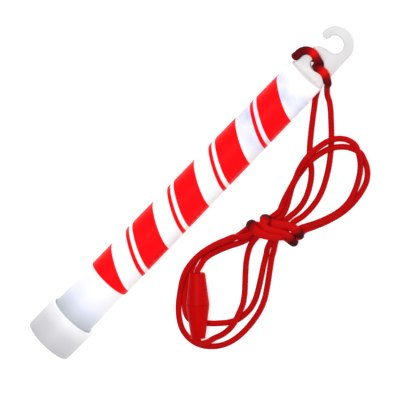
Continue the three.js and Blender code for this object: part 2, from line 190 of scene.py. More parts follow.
def smooth_line(points, step):
    """Points evenly spaced along a centripetal Catmull-Rom curve, in metres."""
    span_samples = 40
    p = np.array(points, float) * MM
    p = np.vstack([2 * p[0] - p[1], p, 2 * p[-1] - p[-2]])
    knots = np.concatenate([[0], np.cumsum(np.linalg.norm(np.diff(p, axis=0), axis=1) ** 0.5)])
    spans = []
    for i in range(1, len(p) - 2):
        at = np.linspace(knots[i], knots[i + 1], span_samples, endpoint=False)[:, None]
        level = [p[i - 1], p[i], p[i + 1], p[i + 2]]
        for first, last in ((-1, 0), (-1, 1), (0, 1)):
            level = [
                (
                    (knots[i + last + j] - at) * level[j] + (at - knots[i + first + j]) * level[j + 1]
                ) / (knots[i + last + j] - knots[i + first + j])
                for j in range(len(level) - 1)
            ]
        spans.append(level[0])
    line = np.vstack(spans + [p[-2:-1]])
    along = run_of(line)
    at = np.linspace(0, along[-1], round(along[-1] / step) + 1)
    return np.stack([np.interp(at, along, line[:, k]) for k in range(3)], axis=1)


def unit(v):
    smallest = 1e-12
    return v / np.maximum(np.linalg.norm(v, axis=-1, keepdims=True), smallest)


def cord_frames(line):
    """At each point, a direction across the cord that never twists, and how far its flat side is turned from it."""
    first_guess = (0.31, 0.52, 0.79)
    upright = 0.5
    reach = 9
    heading = unit(np.gradient(line, axis=0))
    rest = np.zeros_like(heading)
    rest[0] = unit(np.cross(heading[0], first_guess))
    for i in range(1, len(line)):
        rest[i] = unit(rest[i - 1] - heading[i] * (rest[i - 1] @ heading[i]))
    level = np.cross(heading, (0, 0, 1.0))
    weight = np.linalg.norm(level, axis=1) ** 2
    level = unit(level)
    for i in range(1, len(level)):
        if level[i] @ level[i - 1] < 0 and weight[i] < upright:
            level[i] *= -1
    soft = np.zeros_like(level)
    for k in range(-reach, reach + 1):
        source = np.clip(np.arange(len(level)) + k, 0, len(level) - 1)
        part = level[source] * weight[source, None]
        soft += part * np.sign((part * level).sum(1, keepdims=True) + 1e-9)
    flat = unit(soft - heading * (soft * heading).sum(1, keepdims=True))
    side = np.cross(heading, rest)
    lean = np.arctan2((flat * side).sum(1), (flat * rest).sum(1))
    return heading, rest, lean


def srgb(code):
    """A hex colour as the linear values that a shader's socket takes."""
    parts = [int(code[i:i + 2], 16) / 255 for i in (0, 2, 4)]
    return [c / 12.92 if c <= 0.04045 else ((c + 0.055) / 1.055) ** 2.4 for c in parts] + [1.0]


MATHS = "ShaderNodeMath"


def add(tree, kind, inputs=(), **settings):
    """Add a node, set its fields, and fill or link its inputs. A node given as an input links its first output."""
    node = tree.nodes.new(kind)
    for name, value in settings.items():
        setattr(node, name, value)
    for socket, value in inputs.items() if isinstance(inputs, dict) else enumerate(inputs):
        if isinstance(value, bpy.types.Node):
            value = value.outputs[0]
        if isinstance(value, bpy.types.NodeSocket):
            tree.links.new(value, node.inputs[socket])
        else:
            node.inputs[socket].default_value = value
    return node


def braided_tube_tree():
    """Geometry Nodes: a braided tube round a line whose points carry its width, height and turn."""
    tree = bpy.data.node_groups.new("braided_tube", "GeometryNodeTree")
    for name, kind in (
        ("Line", "NodeSocketGeometry"),
        ("Sides", "NodeSocketInt"),
        ("Braid cells", "NodeSocketFloat"),
        ("Braid pitch", "NodeSocketFloat"),
        ("Braid relief", "NodeSocketFloat"),
        ("Finish", "NodeSocketMaterial"),
    ):
        tree.interface.new_socket(name, in_out="INPUT", socket_type=kind)
    tree.interface.new_socket("Tube", in_out="OUTPUT", socket_type="NodeSocketGeometry")
    given = add(tree, "NodeGroupInput").outputs

    at = {
        name: add(tree, "GeometryNodeInputNamedAttribute", {"Name": name}, data_type=kind).outputs["Attribute"]
        for name, kind in (
            ("around", "FLOAT"), ("along", "FLOAT"), ("lean", "FLOAT"), ("width", "FLOAT"), ("height", "FLOAT"),
            ("centre", "FLOAT_VECTOR"), ("heading", "FLOAT_VECTOR"), ("rest", "FLOAT_VECTOR"),
        )
    }
    line = add(tree, "GeometryNodeMeshToCurve", {"Mesh": given["Line"]})
    ring = add(
        tree, "GeometryNodeCurvePrimitiveCircle", {"Resolution": given["Sides"], "Radius": 0.5 * CORD_DIAMETER}
    )
    spline = add(tree, "GeometryNodeSplineParameter").outputs
    ring = add(
        tree, "GeometryNodeStoreNamedAttribute",
        {"Geometry": ring, "Name": "around", "Value": spline["Factor"]}, data_type="FLOAT", domain="POINT",
    )
    tube = add(tree, "GeometryNodeCurveToMesh", {"Curve": line, "Profile Curve": ring, "Fill Caps": True})

    angle = add(tree, MATHS, (at["around"], 2 * math.pi), operation="MULTIPLY")
    cosine = add(tree, MATHS, (angle,), operation="COSINE")
    sine = add(tree, MATHS, (angle,), operation="SINE")
    from_flat = add(tree, MATHS, (angle, at["lean"]), operation="SUBTRACT")
    flat_cosine = add(tree, MATHS, (from_flat,), operation="COSINE")
    flat_sine = add(tree, MATHS, (from_flat,), operation="SINE")
    half_width = add(tree, MATHS, (at["width"], 0.5), operation="MULTIPLY")
    half_height = add(tree, MATHS, (at["height"], 0.5), operation="MULTIPLY")
    wide = add(tree, MATHS, (flat_cosine, half_width), operation="DIVIDE")
    tall = add(tree, MATHS, (flat_sine, half_height), operation="DIVIDE")
    tall_squared = add(tree, MATHS, (tall, tall), operation="MULTIPLY")
    squares = add(tree, MATHS, (wide, wide, tall_squared), operation="MULTIPLY_ADD")
    radius = add(tree, MATHS, (squares, -0.5), operation="POWER")

    half_turns = add(tree, MATHS, (at["around"], math.pi), operation="MULTIPLY")
    turns = add(tree, MATHS, (half_turns, given["Braid cells"]), operation="MULTIPLY")
    run = add(tree, MATHS, (at["along"], math.pi), operation="MULTIPLY")
    picks = add(tree, MATHS, (run, given["Braid pitch"]), operation="DIVIDE")
    onward = add(tree, MATHS, (turns, picks), operation="ADD")
    backward = add(tree, MATHS, (turns, picks), operation="SUBTRACT")
    one_way = add(tree, MATHS, (onward,), operation="COSINE")
    other_way = add(tree, MATHS, (backward,), operation="COSINE")
    both_ways = add(tree, MATHS, (one_way, other_way), operation="MULTIPLY")
    crossing = add(tree, MATHS, (both_ways,), operation="ABSOLUTE")
    braid = add(tree, MATHS, (crossing, 0.5), operation="POWER")
    below_crown = add(tree, MATHS, (braid, 1.0), operation="SUBTRACT")
    sunk = add(tree, MATHS, (below_crown, given["Braid relief"]), operation="MULTIPLY")
    radius = add(tree, MATHS, (radius, sunk), operation="ADD")

    side = add(tree, "ShaderNodeVectorMath", (at["heading"], at["rest"]), operation="CROSS_PRODUCT")
    rest_part = add(tree, MATHS, (cosine, radius), operation="MULTIPLY")
    side_part = add(tree, MATHS, (sine, radius), operation="MULTIPLY")
    along_rest = add(tree, "ShaderNodeVectorMath", {0: at["rest"], "Scale": rest_part}, operation="SCALE")
    along_side = add(tree, "ShaderNodeVectorMath", {0: side, "Scale": side_part}, operation="SCALE")
    out = add(tree, "ShaderNodeVectorMath", (along_rest, along_side), operation="ADD")
    place = add(tree, "ShaderNodeVectorMath", (at["centre"], out), operation="ADD")
    tube = add(
        tree, "GeometryNodeStoreNamedAttribute",
        {"Geometry": tube, "Name": "braid", "Value": braid}, data_type="FLOAT", domain="POINT",
    )
    tube = add(tree, "GeometryNodeSetPosition", {"Geometry": tube, "Position": place})
    tube = add(tree, "GeometryNodeSetShadeSmooth", {"Geometry": tube})
    tube = add(tree, "GeometryNodeRealizeInstances", {"Geometry": tube})
    tube = add(tree, "GeometryNodeSetMaterial", {"Geometry": tube, "Material": given["Finish"]})
    add(tree, "NodeGroupOutput", (tube,))
    return tree


def settle(name, source):
    """Turn an object with a node tree on it into a plain mesh object with the same look."""
    graph = bpy.context.evaluated_depsgraph_get()
    mesh = bpy.data.meshes.new_from_object(source.evaluated_get(graph), depsgraph=graph)
    mesh.name = name
    old = source.data
    bpy.data.objects.remove(source)
    bpy.data.meshes.remove(old)
    shape = bmesh.new()
    shape.from_mesh(mesh)
    bmesh.ops.recalc_face_normals(shape, faces=shape.faces)
    shape.to_mesh(mesh)
    shape.free()
    piece = bpy.data.objects.new(name, mesh)
    scene.collection.objects.link(piece)
    return piece


def with_nodes(name, mesh, tree, values):
    """An object of that mesh with a Geometry Nodes tree on it, its inputs set by their identifiers."""
    carrier = bpy.data.objects.new(name + "_line", mesh)
    scene.collection.objects.link(carrier)
    modifier = carrier.modifiers.new("shape", "NODES")
    modifier.node_group = tree
    sockets = {item.name: item.identifier for item in tree.interface.items_tree if item.in_out == "INPUT"}
    for key, value in values.items():
        modifier[sockets[key]] = value
    return carrier


def braided_cord(
    name, line, finish, width=LYING_WIDTH, height=LYING_HEIGHT, sides=CORD_SIDES, relief=BRAID_RELIEF, dye=0.0
):
    """A cord of braided sleeve along a line of evenly spaced points. Its dye value is painted light: painted shade
    below 0 and a painted highlight above.
    """
    heading, rest, lean = cord_frames(line)
    count = len(line)
    mesh = bpy.data.meshes.new(name + "_line")
    mesh.from_pydata([tuple(p) for p in line], [(i, i + 1) for i in range(count - 1)], [])
    along = run_of(line)
    for key, values in (
        ("along", along), ("lean", lean),
        ("width", np.broadcast_to(width, count)), ("height", np.broadcast_to(height, count)),
        ("dye", np.broadcast_to(dye, count)),
    ):
        mesh.attributes.new(key, "FLOAT", "POINT").data.foreach_set(
            "value", np.ascontiguousarray(values, np.float32)
        )
    for key, values in (("centre", line), ("heading", heading), ("rest", rest)):
        mesh.attributes.new(key, "FLOAT_VECTOR", "POINT").data.foreach_set(
            "vector", np.ascontiguousarray(values, np.float32).ravel()
        )
    carrier = with_nodes(name, mesh, braided_tube, {
        "Sides": sides, "Braid cells": float(BRAID_CELLS), "Braid pitch": BRAID_PITCH,
        "Braid relief": relief, "Finish": finish,
    })
    piece = settle(name, carrier)
    for key in ("around", "along", "lean", "width", "height", "centre", "heading", "rest"):
        if key in piece.data.attributes:
            piece.data.attributes.remove(piece.data.attributes[key])
    return piece


def bare_material(name, values):
    """A new material, its tree and its Principled shader, with these values on the shader's own sockets."""
    material = bpy.data.materials.new(name)
    material.use_nodes = True
    shader = material.node_tree.nodes["Principled BSDF"]
    for socket, value in values.items():
        shader.inputs[socket].default_value = value
    return material, material.node_tree, shader


def braided_polyester():
    """Dyed braided polyester: soft, no gloss to speak of, with painted shade down between the strands and painted
    shade and highlight from the dye attribute.
    """
    material, tree, shader = bare_material("braided_polyester_red", {
        "Roughness": 0.72, "Specular IOR Level": 0.06,
    })
    braid = add(tree, "ShaderNodeAttribute", attribute_name="braid").outputs["Fac"]
    place = add(tree, "ShaderNodeTexCoord").outputs["Object"]
    fibre = add(tree, "ShaderNodeTexNoise", {"Vector": place, "Scale": 2200.0, "Detail": 2.0})
    # Painted shade: the colour is darker down between the braid's strands than on their crowns, over the fibres'
    # own random tone.
    strand = add(tree, MATHS, (braid, 0.75), operation="MULTIPLY")
    high = add(tree, MATHS, (fibre, 0.35, strand), operation="MULTIPLY_ADD")
    ramp = add(tree, "ShaderNodeValToRGB", {"Fac": high})
    ramp.color_ramp.elements[0].position = 0.15
    ramp.color_ramp.elements[0].color = srgb("850105")
    ramp.color_ramp.elements[1].position = 0.8
    ramp.color_ramp.elements[1].color = srgb("C80407")
    # The dye attribute is painted light, not a dye: below 0 it mixes in painted shade (dark wine), above 0 a
    # painted highlight (bright red).
    dye = add(tree, "ShaderNodeAttribute", attribute_name="dye").outputs["Fac"]
    depth = add(tree, MATHS, (dye, -1.0), operation="MULTIPLY")
    dark = add(
        tree, "ShaderNodeMix", {"Factor": depth, 6: ramp.outputs["Color"], 7: srgb("4A0810")}, data_type="RGBA"
    ).outputs[2]
    colour = add(tree, "ShaderNodeMix", {"Factor": dye, 6: dark, 7: srgb("EE0F0C")}, data_type="RGBA").outputs[2]
    tree.links.new(colour, shader.inputs["Base Color"])
    bump = add(tree, "ShaderNodeBump", {"Strength": 0.35, "Distance": 0.00006, "Height": high})
    tree.links.new(bump.outputs["Normal"], shader.inputs["Normal"])
    return material


braided_tube = braided_tube_tree()
cord_finish = braided_polyester()

lead_to_near_loop = through_tie(24.9, 25.3, LOWER_LAYER)
near_loop_to_outer = through_tie(24.3, 34.2, UPPER_LAYER)[::-1]
outer_to_strand_one = through_tie(32.3, 29.4, LOWER_LAYER)
strand_two_to_inner = through_tie(22.6, 31.6, UPPER_LAYER)[::-1]
inner_to_far_loop = through_tie(30.6, 27.3, LOWER_LAYER)
far_loop_to_lead = through_tie(26.3, 36.0, UPPER_LAYER)[::-1]

CLASP_TOP = Vector((20.3, -22.9, 4.8))
CLASP_BOTTOM = Vector((36.2, -38.9, 6.4))
clasp_way = (CLASP_BOTTOM - CLASP_TOP).normalized()


def in_clasp(end, way):
    """The last points of a cord end, inside the clasp up to its stop knot."""
    return [tuple(end + way * depth) for depth in CORD_END_DEPTHS]


route_a = (
    in_clasp(CLASP_TOP, clasp_way) + CLASP_LEAD_UPPER + lead_to_near_loop + NEAR_RIGHT_LOOP
    + near_loop_to_outer + OUTER_LOOP + outer_to_strand_one + STRAND_ONE[::-1] + off_stick(HITCH_ARCH)
)
route_b = (
    off_stick(HITCH_LOBE) + STRAND_TWO + strand_two_to_inner + INNER_LOOP
    + inner_to_far_loop + FAR_RIGHT_LOOP + far_loop_to_lead
)
route_tail = in_clasp(CLASP_BOTTOM, -clasp_way) + CLASP_LEAD_LOWER


def on_stick(line):
    """The line's points in mm along the stick's own axes, as three rows."""
    to_stick = from_stick.inverted()
    return (np.array([to_stick @ Vector(p) for p in line]) / MM).T


def hitch_flattening(line):
    """How flat the cord is pressed at each point: all the way on the tab and in its hole, not at all below it."""
    tab_edge, edge_foot, edge_rise = 4.5, 0.4, 2.0
    hole_foot, hole_rise = -1.6, 2.6
    reach, fade = 12.0, 2.5
    x, y, z = on_stick(line)
    above = np.where(np.abs(x) > tab_edge, (z - edge_foot) / edge_rise, (z - hole_foot) / hole_rise)
    above = np.clip(above, 0, 1)
    near = np.clip((reach - np.hypot(x, y - HITCH_MIDDLE)) / fade, 0, 1)
    return above * above * (3 - 2 * above) * near


def hitch_painted_light(line):
    """Painted light on the hitch: a painted highlight where it lies up on the tab, and painted shade where it turns
    down off it.
    """
    reach, fade, lowest = 9.5, 2.0, -4.2
    crown_middle, crown_spread, crown_gain, shade = 3.5, 1.5, 1.7, 0.9
    x, y, z = on_stick(line)
    near = np.clip((reach - np.hypot(x, y - HITCH_MIDDLE)) / fade, 0, 1) * (z > lowest)
    crown = np.exp(-(((np.abs(x) - crown_middle) / crown_spread) ** 2)) * np.clip(z, 0, 1)
    return near * (crown * crown_gain - shade)


def flattened(line):
    """The cord's width, height and painted light (its dye value) along a line that goes through the hitch."""
    pressed = hitch_flattening(line)
    width = LYING_WIDTH + (HITCH_WIDTH - LYING_WIDTH) * pressed
    height = LYING_HEIGHT + (HITCH_HEIGHT - LYING_HEIGHT) * pressed
    return {"width": width, "height": height, "dye": hitch_painted_light(line)}


line_a = smooth_line(route_a, CORD_STEP)
line_b = smooth_line(route_b, CORD_STEP)
line_tail = smooth_line(route_tail, CORD_STEP)
cord_a = braided_cord("lanyard_cord_first_half", line_a, cord_finish, **flattened(line_a))
cord_b = braided_cord("lanyard_cord_second_half", line_b, cord_finish, **flattened(line_b))
cord_tail = braided_cord("lanyard_cord_tail", line_tail, cord_finish)


# The tie: the cord's own slack wound three times round the waist of the folded
# lanyard and tucked under itself, so that it lies flat on top and bunches at both
# ends. Each point is x, y, z, the cord's width and its height.
# The tie's painted light: painted shade on the turns below this height, fading in over the next, and a painted
# highlight on its flat top.
TIE_PAINTED_SHADE_BELOW = 5.9
TIE_PAINTED_SHADE_FADE = 0.8
TIE_PAINTED_HIGHLIGHT = 0.2
TIE_TURNS = [
    (28.91, 6.29, 3.4, 2.2, 1.7), (27.56, 3.19, 1.2, 2.6, 1.7), (24.91, 1.67, 1.2, 2.8, 1.8),
    (22.74, 1.49, 2.2, 3.6, 3.0), (22.31, 2.37, 3.8, 4.1, 3.6), (22.84, 2.77, 5.2, 3.9, 3.0),
    (24.53, 2.8, 6.1, 3.2, 2.1), (27.08, 3.51, 6.35, 3.2, 1.8), (29.64, 5.12, 6.35, 3.0, 1.8),
    (31.83, 7.07, 6.1, 2.9, 1.8), (33.36, 8.36, 5.2, 2.7, 1.8), (34.5, 8.69, 3.6, 2.5, 1.8),
    (34.3, 7.66, 1.9, 2.5, 1.7), (32.69, 6.76, 1.0, 2.8, 1.7), (29.3, 6.03, 1.0, 2.8, 1.7),
    (26.29, 6.1, 1.1, 3.0, 1.8), (24.79, 6.67, 2.4, 4.0, 3.0), (24.41, 7.55, 4.2, 4.6, 3.6),
    (24.28, 7.42, 5.7, 3.8, 2.6), (24.95, 6.18, 6.4, 2.9, 1.9), (26.55, 5.89, 6.5, 2.6, 1.8),
    (28.63, 7.03, 6.5, 2.6, 1.8), (30.91, 8.55, 6.5, 2.6, 1.8), (33.08, 9.32, 6.2, 2.7, 1.9),
    (35.16, 9.21, 5.2, 3.0, 2.4), (36.56, 8.47, 3.6, 3.4, 3.0), (36.18, 7.63, 1.9, 2.8, 2.2),
    (33.83, 7.13, 1.0, 2.8, 1.7), (30.44, 6.79, 1.0, 2.8, 1.7), (27.24, 7.09, 1.2, 2.8, 1.8),
    (25.92, 7.54, 2.8, 2.8, 2.0), (26.12, 8.27, 4.8, 2.8, 2.0), (27.44, 9.01, 6.2, 2.8, 1.9),
    (29.24, 10.33, 6.5, 2.8, 1.9), (31.14, 11.86, 6.5, 2.8, 1.9), (33.19, 12.57, 6.2, 3.2, 2.0),
    (35.15, 12.46, 5.2, 3.4, 2.4), (36.46, 11.55, 3.6, 3.3, 2.8), (36.31, 10.45, 1.9, 2.8, 2.0),
]


def along_line(line, points, values):
    """Values given at the control points, spread along the line through them."""
    marks = [int(np.argmin(np.linalg.norm(line - np.array(p[:3]) * MM, axis=1))) for p in points]
    marks = np.maximum.accumulate(marks)
    return np.interp(np.arange(len(line)), marks, np.array(values) * MM)


tie_line = smooth_line([p[:3] for p in TIE_TURNS], CORD_STEP)
tie_knot = braided_cord(
    "lanyard_tie_turns", tie_line, cord_finish,
    width=along_line(tie_line, TIE_TURNS, [p[3] for p in TIE_TURNS]),
    height=along_line(tie_line, TIE_TURNS, [p[4] for p in TIE_TURNS]),
    # Painted shade on the bunched ends and sides below the top, and a painted highlight on the flat top.
    dye=np.clip((tie_line[:, 2] / MM - TIE_PAINTED_SHADE_BELOW) / TIE_PAINTED_SHADE_FADE, -1.0, TIE_PAINTED_HIGHLIGHT),
)
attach(tie_knot, "stick")
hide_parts("lanyard_tie")

# The stop knots: each cord end is tied in a small overhand knot inside its half
# of the clasp, wider than the hole that the cord comes through.
KNOT_RADIUS = 0.75
KNOT_TIGHTNESS = 0.42
KNOT_LIFT = 1.3
KNOT_POINTS = 48
KNOT_CORD = 1.0 * MM
KNOT_SIDES = 16
KNOT_RELIEF = 0.03 * MM
KNOT_DEPTH = 4.9


def overhand(name, middle, body, node):
    """A small tight trefoil of cord round a point on the clasp's axis."""
    turn = Vector((0, 0, 1)).rotation_difference(clasp_way)
    points = []
    for i in range(KNOT_POINTS + 1):
        t = 2 * math.pi * i / KNOT_POINTS
        spot = Vector((
            math.sin(t) + 2 * math.sin(2 * t), math.cos(t) - 2 * math.cos(2 * t), -KNOT_LIFT * math.sin(3 * t)
        ))
        points.append(tuple(middle + turn @ (spot * KNOT_RADIUS * KNOT_TIGHTNESS)))
    knot = braided_cord(
        name, smooth_line(points, CORD_STEP), cord_finish, KNOT_CORD, KNOT_CORD, KNOT_SIDES, KNOT_RELIEF
    )
    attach(knot, body)
    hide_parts(node)
    return knot


knot_in = clasp_way * KNOT_DEPTH
upper_knot = overhand("lanyard_stop_knot_upper", CLASP_TOP + knot_in, "stick", "stop_knot_upper")
lower_knot = overhand("lanyard_stop_knot_lower", CLASP_BOTTOM - knot_in, "clasp_half", "stop_knot_lower")

# The breakaway clasp: two injection-moulded red ABS cones that push together, the
# pin of one in the socket of the other. The moulding leaves it smooth and glossy.
CLASP_SIDES = 96
CLASP_SEAM = 10.95
CLASP_LENGTH = (CLASP_BOTTOM - CLASP_TOP).length
CLASP_GAP = 0.06
CLASP_TOP_RADIUS = 2.7
CLASP_WIDEST = 4.05
CLASP_BOTTOM_RADIUS = 2.45
CLASP_HOLE = 1.15
CLASP_CHAMBER = 2.1
CLASP_CHAMBER_FROM = 3.0
CLASP_EDGE = 0.14
HOLE_SEAM = 1.5
PIN_RADIUS = 1.75
PIN_BORE = 1.05
PIN_LENGTH = 3.6
PIN_CHAMBER = CLASP_CHAMBER - 0.3
PIN_CHAMBER_TO = 1.4
BORE_SEAM = 1.0
SMOOTH_ANGLE = math.radians(40)
UV_LENGTH = 152.0


def rounded(profile, radius, steps=4):
    """A turned outline with its outer corners eased, as a mould leaves them."""
    longest_cut = 0.45
    straight = -0.995
    out = [profile[0]]
    for before, corner, after in zip(profile, profile[1:], profile[2:]):
        a, b, c = (Vector(p) for p in (before, corner, after))
        cut = min(radius, longest_cut * (a - b).length, longest_cut * (c - b).length)
        if (a - b).normalized().dot((c - b).normalized()) < straight:
            out.append(corner)
            continue
        p, q = b + (a - b).normalized() * cut, b + (c - b).normalized() * cut
        for i in range(steps + 1):
            t = i / steps
            out.append(tuple(p * (1 - t) ** 2 + b * 2 * t * (1 - t) + q * t * t))
    out.append(profile[-1])
    return out


def turned(name, profile, sides, place, closed=False):
    """A turned mesh round the Y axis from (radius, height) points in mm, with UV round and along it."""
    shape = bmesh.new()
    uv = shape.loops.layers.uv.new("UVMap")
    rings = []
    for radius, height in profile:
        if radius < 1e-6:
            rings.append([shape.verts.new((0, height, 0))])
            continue
        rings.append([
            shape.verts.new((radius * math.sin(a), height, radius * math.cos(a)))
            for a in (2 * math.pi * i / sides - math.pi for i in range(sides))
        ])
    pairs = list(zip(range(len(rings)), range(1, len(rings))))
    if closed:
        pairs.append((len(rings) - 1, 0))
    for low, high in pairs:
        a, b = rings[low], rings[high]
        for i in range(sides):
            j = (i + 1) % sides
            corners = []
            for ring, k, height, u in (
                (a, i, profile[low][1], i), (a, j, profile[low][1], i + 1),
                (b, j, profile[high][1], i + 1), (b, i, profile[high][1], i),
            ):
                vert = ring[0] if len(ring) == 1 else ring[k]
                if all(vert is not other for other, _, _ in corners):
                    corners.append((vert, u / sides, height / UV_LENGTH))
            if len(corners) < 3:
                continue
            face = shape.faces.new([c[0] for c in corners])
            face.smooth = True
            for loop in face.loops:
                u, v = next((c[1], c[2]) for c in corners if c[0] is loop.vert)
                loop[uv].uv = (u, v)
    bmesh.ops.recalc_face_normals(shape, faces=shape.faces)
    mesh = bpy.data.meshes.new(name)
    shape.transform(place)
    shape.to_mesh(mesh)
    shape.free()
    mesh.set_sharp_from_angle(angle=SMOOTH_ANGLE)
    piece = bpy.data.objects.new(name, mesh)
    scene.collection.objects.link(piece)
    return piece


def mottled(tree, place, scale, one, other, detail=2.0):
    """A colour that drifts between two close shades, as a moulding's does."""
    cloud = add(tree, "ShaderNodeTexNoise", {"Vector": place, "Scale": scale, "Detail": detail})
    return add(
        tree, "ShaderNodeMix", {"Factor": cloud, 6: srgb(one), 7: srgb(other)}, data_type="RGBA"
    ).outputs[2]


def fine_grain(tree, shader, place, scale, strength, depth, detail=3.0):
    """Give a finish its grain: bumps a few hundredths of a millimetre deep."""
    grain = add(tree, "ShaderNodeTexNoise", {"Vector": place, "Scale": scale, "Detail": detail})
    bump = add(tree, "ShaderNodeBump", {"Strength": strength, "Distance": depth, "Height": grain})
    tree.links.new(bump.outputs["Normal"], shader.inputs["Normal"])


def glossy_abs():
    """Moulded ABS, coloured through: an even red with a soft highlight and faint flow ripples."""
    material, tree, shader = bare_material("moulded_abs_red", {
        "Roughness": 0.42, "IOR": 1.53, "Specular IOR Level": 0.03,
    })
    place = add(tree, "ShaderNodeTexCoord").outputs["Object"]
    colour = mottled(tree, place, 260.0, "B60204", "C80305", detail=3.0)
    tree.links.new(colour, shader.inputs["Base Color"])
    fine_grain(tree, shader, place, scale=1500.0, strength=0.12, depth=0.00004, detail=2.0)
    return material


def on_clasp():
    """The frame of the clasp, in metres: its axis is +Y from the socket's end."""
    turn = Vector((0, 1, 0)).rotation_difference(clasp_way).to_matrix().to_4x4()
    return Matrix.Translation(CLASP_TOP * MM) @ turn @ Matrix.Diagonal((MM, MM, MM, 1))


socket_end = CLASP_SEAM - CLASP_GAP / 2
pin_face = CLASP_SEAM + CLASP_GAP / 2
chamber_end = CLASP_LENGTH - CLASP_CHAMBER_FROM
socket_outline = rounded([
    (CLASP_HOLE, HOLE_SEAM), (CLASP_HOLE, 0), (CLASP_TOP_RADIUS, 0), (CLASP_WIDEST, socket_end),
    (CLASP_CHAMBER, socket_end), (CLASP_CHAMBER, CLASP_CHAMBER_FROM), (CLASP_HOLE, CLASP_CHAMBER_FROM),
    (CLASP_HOLE, HOLE_SEAM),
], CLASP_EDGE)[:-1]
pin_outline = rounded([
    (PIN_BORE, pin_face - BORE_SEAM), (PIN_BORE, pin_face - PIN_LENGTH), (PIN_RADIUS, pin_face - PIN_LENGTH),
    (PIN_RADIUS, pin_face), (CLASP_WIDEST, pin_face), (CLASP_BOTTOM_RADIUS, CLASP_LENGTH),
    (CLASP_HOLE, CLASP_LENGTH), (CLASP_HOLE, chamber_end), (PIN_CHAMBER, chamber_end),
    (PIN_CHAMBER, pin_face + PIN_CHAMBER_TO), (PIN_BORE, pin_face + PIN_CHAMBER_TO),
    (PIN_BORE, pin_face - BORE_SEAM),
], CLASP_EDGE)[:-1]
clasp_finish = glossy_abs()
clasp_socket = turned("clasp_socket_shell", socket_outline, CLASP_SIDES, on_clasp(), closed=True)
clasp_pin = turned("clasp_pin_shell", pin_outline, CLASP_SIDES, on_clasp(), closed=True)
for piece, body, node in ((clasp_socket, "stick", "clasp_socket"), (clasp_pin, "clasp_half", "clasp_pin")):
    piece.data.materials.append(clasp_finish)
    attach(piece, body)
    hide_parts(node)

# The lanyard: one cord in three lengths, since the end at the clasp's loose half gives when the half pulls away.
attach(cord_a, "stick")
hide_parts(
    "lanyard_hitch_arch", "lanyard_strand_one", "lanyard_outer_loop", "lanyard_lead_upper",
    "lanyard_right_loops",
)
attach(cord_b, "stick")
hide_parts("lanyard_hitch_lobe", "lanyard_strand_two", "lanyard_inner_loop")
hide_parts("lanyard_lead_lower")
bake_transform(cord_tail)

# The tube: injection-moulded low-density polyethylene, white and slightly cloudy,
# closed at the tip, where the flat tab with its hole and open hook is moulded on.
TUBE_SIDES = 160
CAP_RIM = -63.3
TUBE_TIP = 55.2
TUBE_FOOT = -74.0
TUBE_RIM_RADIUS = 7.75
TUBE_TIP_RADIUS = 6.9
TUBE_WALL = 1.15
TIP_WALL = 1.6
TUBE_EDGE = 0.35
TUBE_EDGE_STEPS = 6
FLUID_SPAN = 120.0
SHADE_SPAN = 16.0
stick_place = from_stick @ Matrix.Diagonal((MM, MM, MM, 1))


def tube_radius(y):
    """The tube's outside radius at a height: it draws in a little from the rim to the tip."""
    return TUBE_RIM_RADIUS + (TUBE_TIP_RADIUS - TUBE_RIM_RADIUS) * max(0.0, (y - CAP_RIM) / (TUBE_TIP - CAP_RIM))


def fluid_tint(tree, along):
    """How strongly the dye solution tints the plastic from inside, from 0 to 1, at a height above the rim."""
    place = add(tree, "ShaderNodeTexCoord").outputs["Object"]
    cloud = add(tree, "ShaderNodeTexNoise", {"Vector": place, "Scale": 170.0, "Detail": 3.0})
    share = add(tree, MATHS, (along, FLUID_SPAN), operation="DIVIDE")
    ramp = add(tree, "ShaderNodeValToRGB", {"Fac": share})
    stops = (
        (0.70, 0.0), (0.745, 0.55), (0.79, 0.9), (0.845, 0.35), (0.875, 0.25), (0.905, 0.85), (0.93, 0.65),
        (0.955, 0.0),
    )
    ramp.color_ramp.elements[0].position = 0.0
    ramp.color_ramp.elements[0].color = (0, 0, 0, 1)
    ramp.color_ramp.elements[1].position = 1.0
    ramp.color_ramp.elements[1].color = (0, 0, 0, 1)
    for spot, level in stops:
        ramp.color_ramp.elements.new(spot).color = (level, level, level, 1)
    cloudy = add(tree, MATHS, (cloud, 1.6, -0.3), operation="MULTIPLY_ADD")
    return add(tree, MATHS, (ramp, cloudy), operation="MULTIPLY")


def cloudy_white(tree):
    """The plastic's colour along the tube: grey-blue just above the cap, white beyond, lavender over the fluid."""
    uv = add(tree, "ShaderNodeUVMap", uv_map="UVMap").outputs["UV"]
    parts = add(tree, "ShaderNodeSeparateXYZ", {0: uv}).outputs
    above = add(tree, MATHS, (parts["Y"], UV_LENGTH, -CAP_RIM), operation="MULTIPLY_ADD")
    share = add(tree, MATHS, (above, SHADE_SPAN), operation="DIVIDE")
    ramp = add(tree, "ShaderNodeValToRGB", {"Fac": share})
    stops = (
        (0.0, "B4B9C3"), (0.0625, "BEC3CD"), (0.144, "C8CDD8"), (0.206, "D2D6E2"), (0.331, "DEE1F0"),
        (0.456, "EDEFFC"), (0.60, "F5F6FD"), (0.82, "FCFCFE"), (1.0, "FDFDFE"),
    )
    ramp.color_ramp.elements[0].color = srgb(stops[0][1])
    ramp.color_ramp.elements[1].color = srgb(stops[-1][1])
    for spot, code in stops[1:-1]:
        ramp.color_ramp.elements.new(spot).color = srgb(code)
    tinted = add(
        tree, "ShaderNodeMix",
        {"Factor": fluid_tint(tree, above), 6: ramp.outputs["Color"], 7: srgb("C4CAF8")}, data_type="RGBA",
    ).outputs[2]
    return tinted, parts["X"], above


def white_polyethylene():
    """Moulded low-density polyethylene: milky, softly glossy, with the fluid's blue showing through."""
    material, tree, shader = bare_material("moulded_polyethylene_milky", {
        "Roughness": 0.34, "IOR": 1.51, "Specular IOR Level": 0.3,
    })
    colour, _, _ = cloudy_white(tree)
    tree.links.new(colour, shader.inputs["Base Color"])
    place = add(tree, "ShaderNodeTexCoord").outputs["Object"]
    fine_grain(tree, shader, place, scale=700.0, strength=0.1, depth=0.00005)
    return material


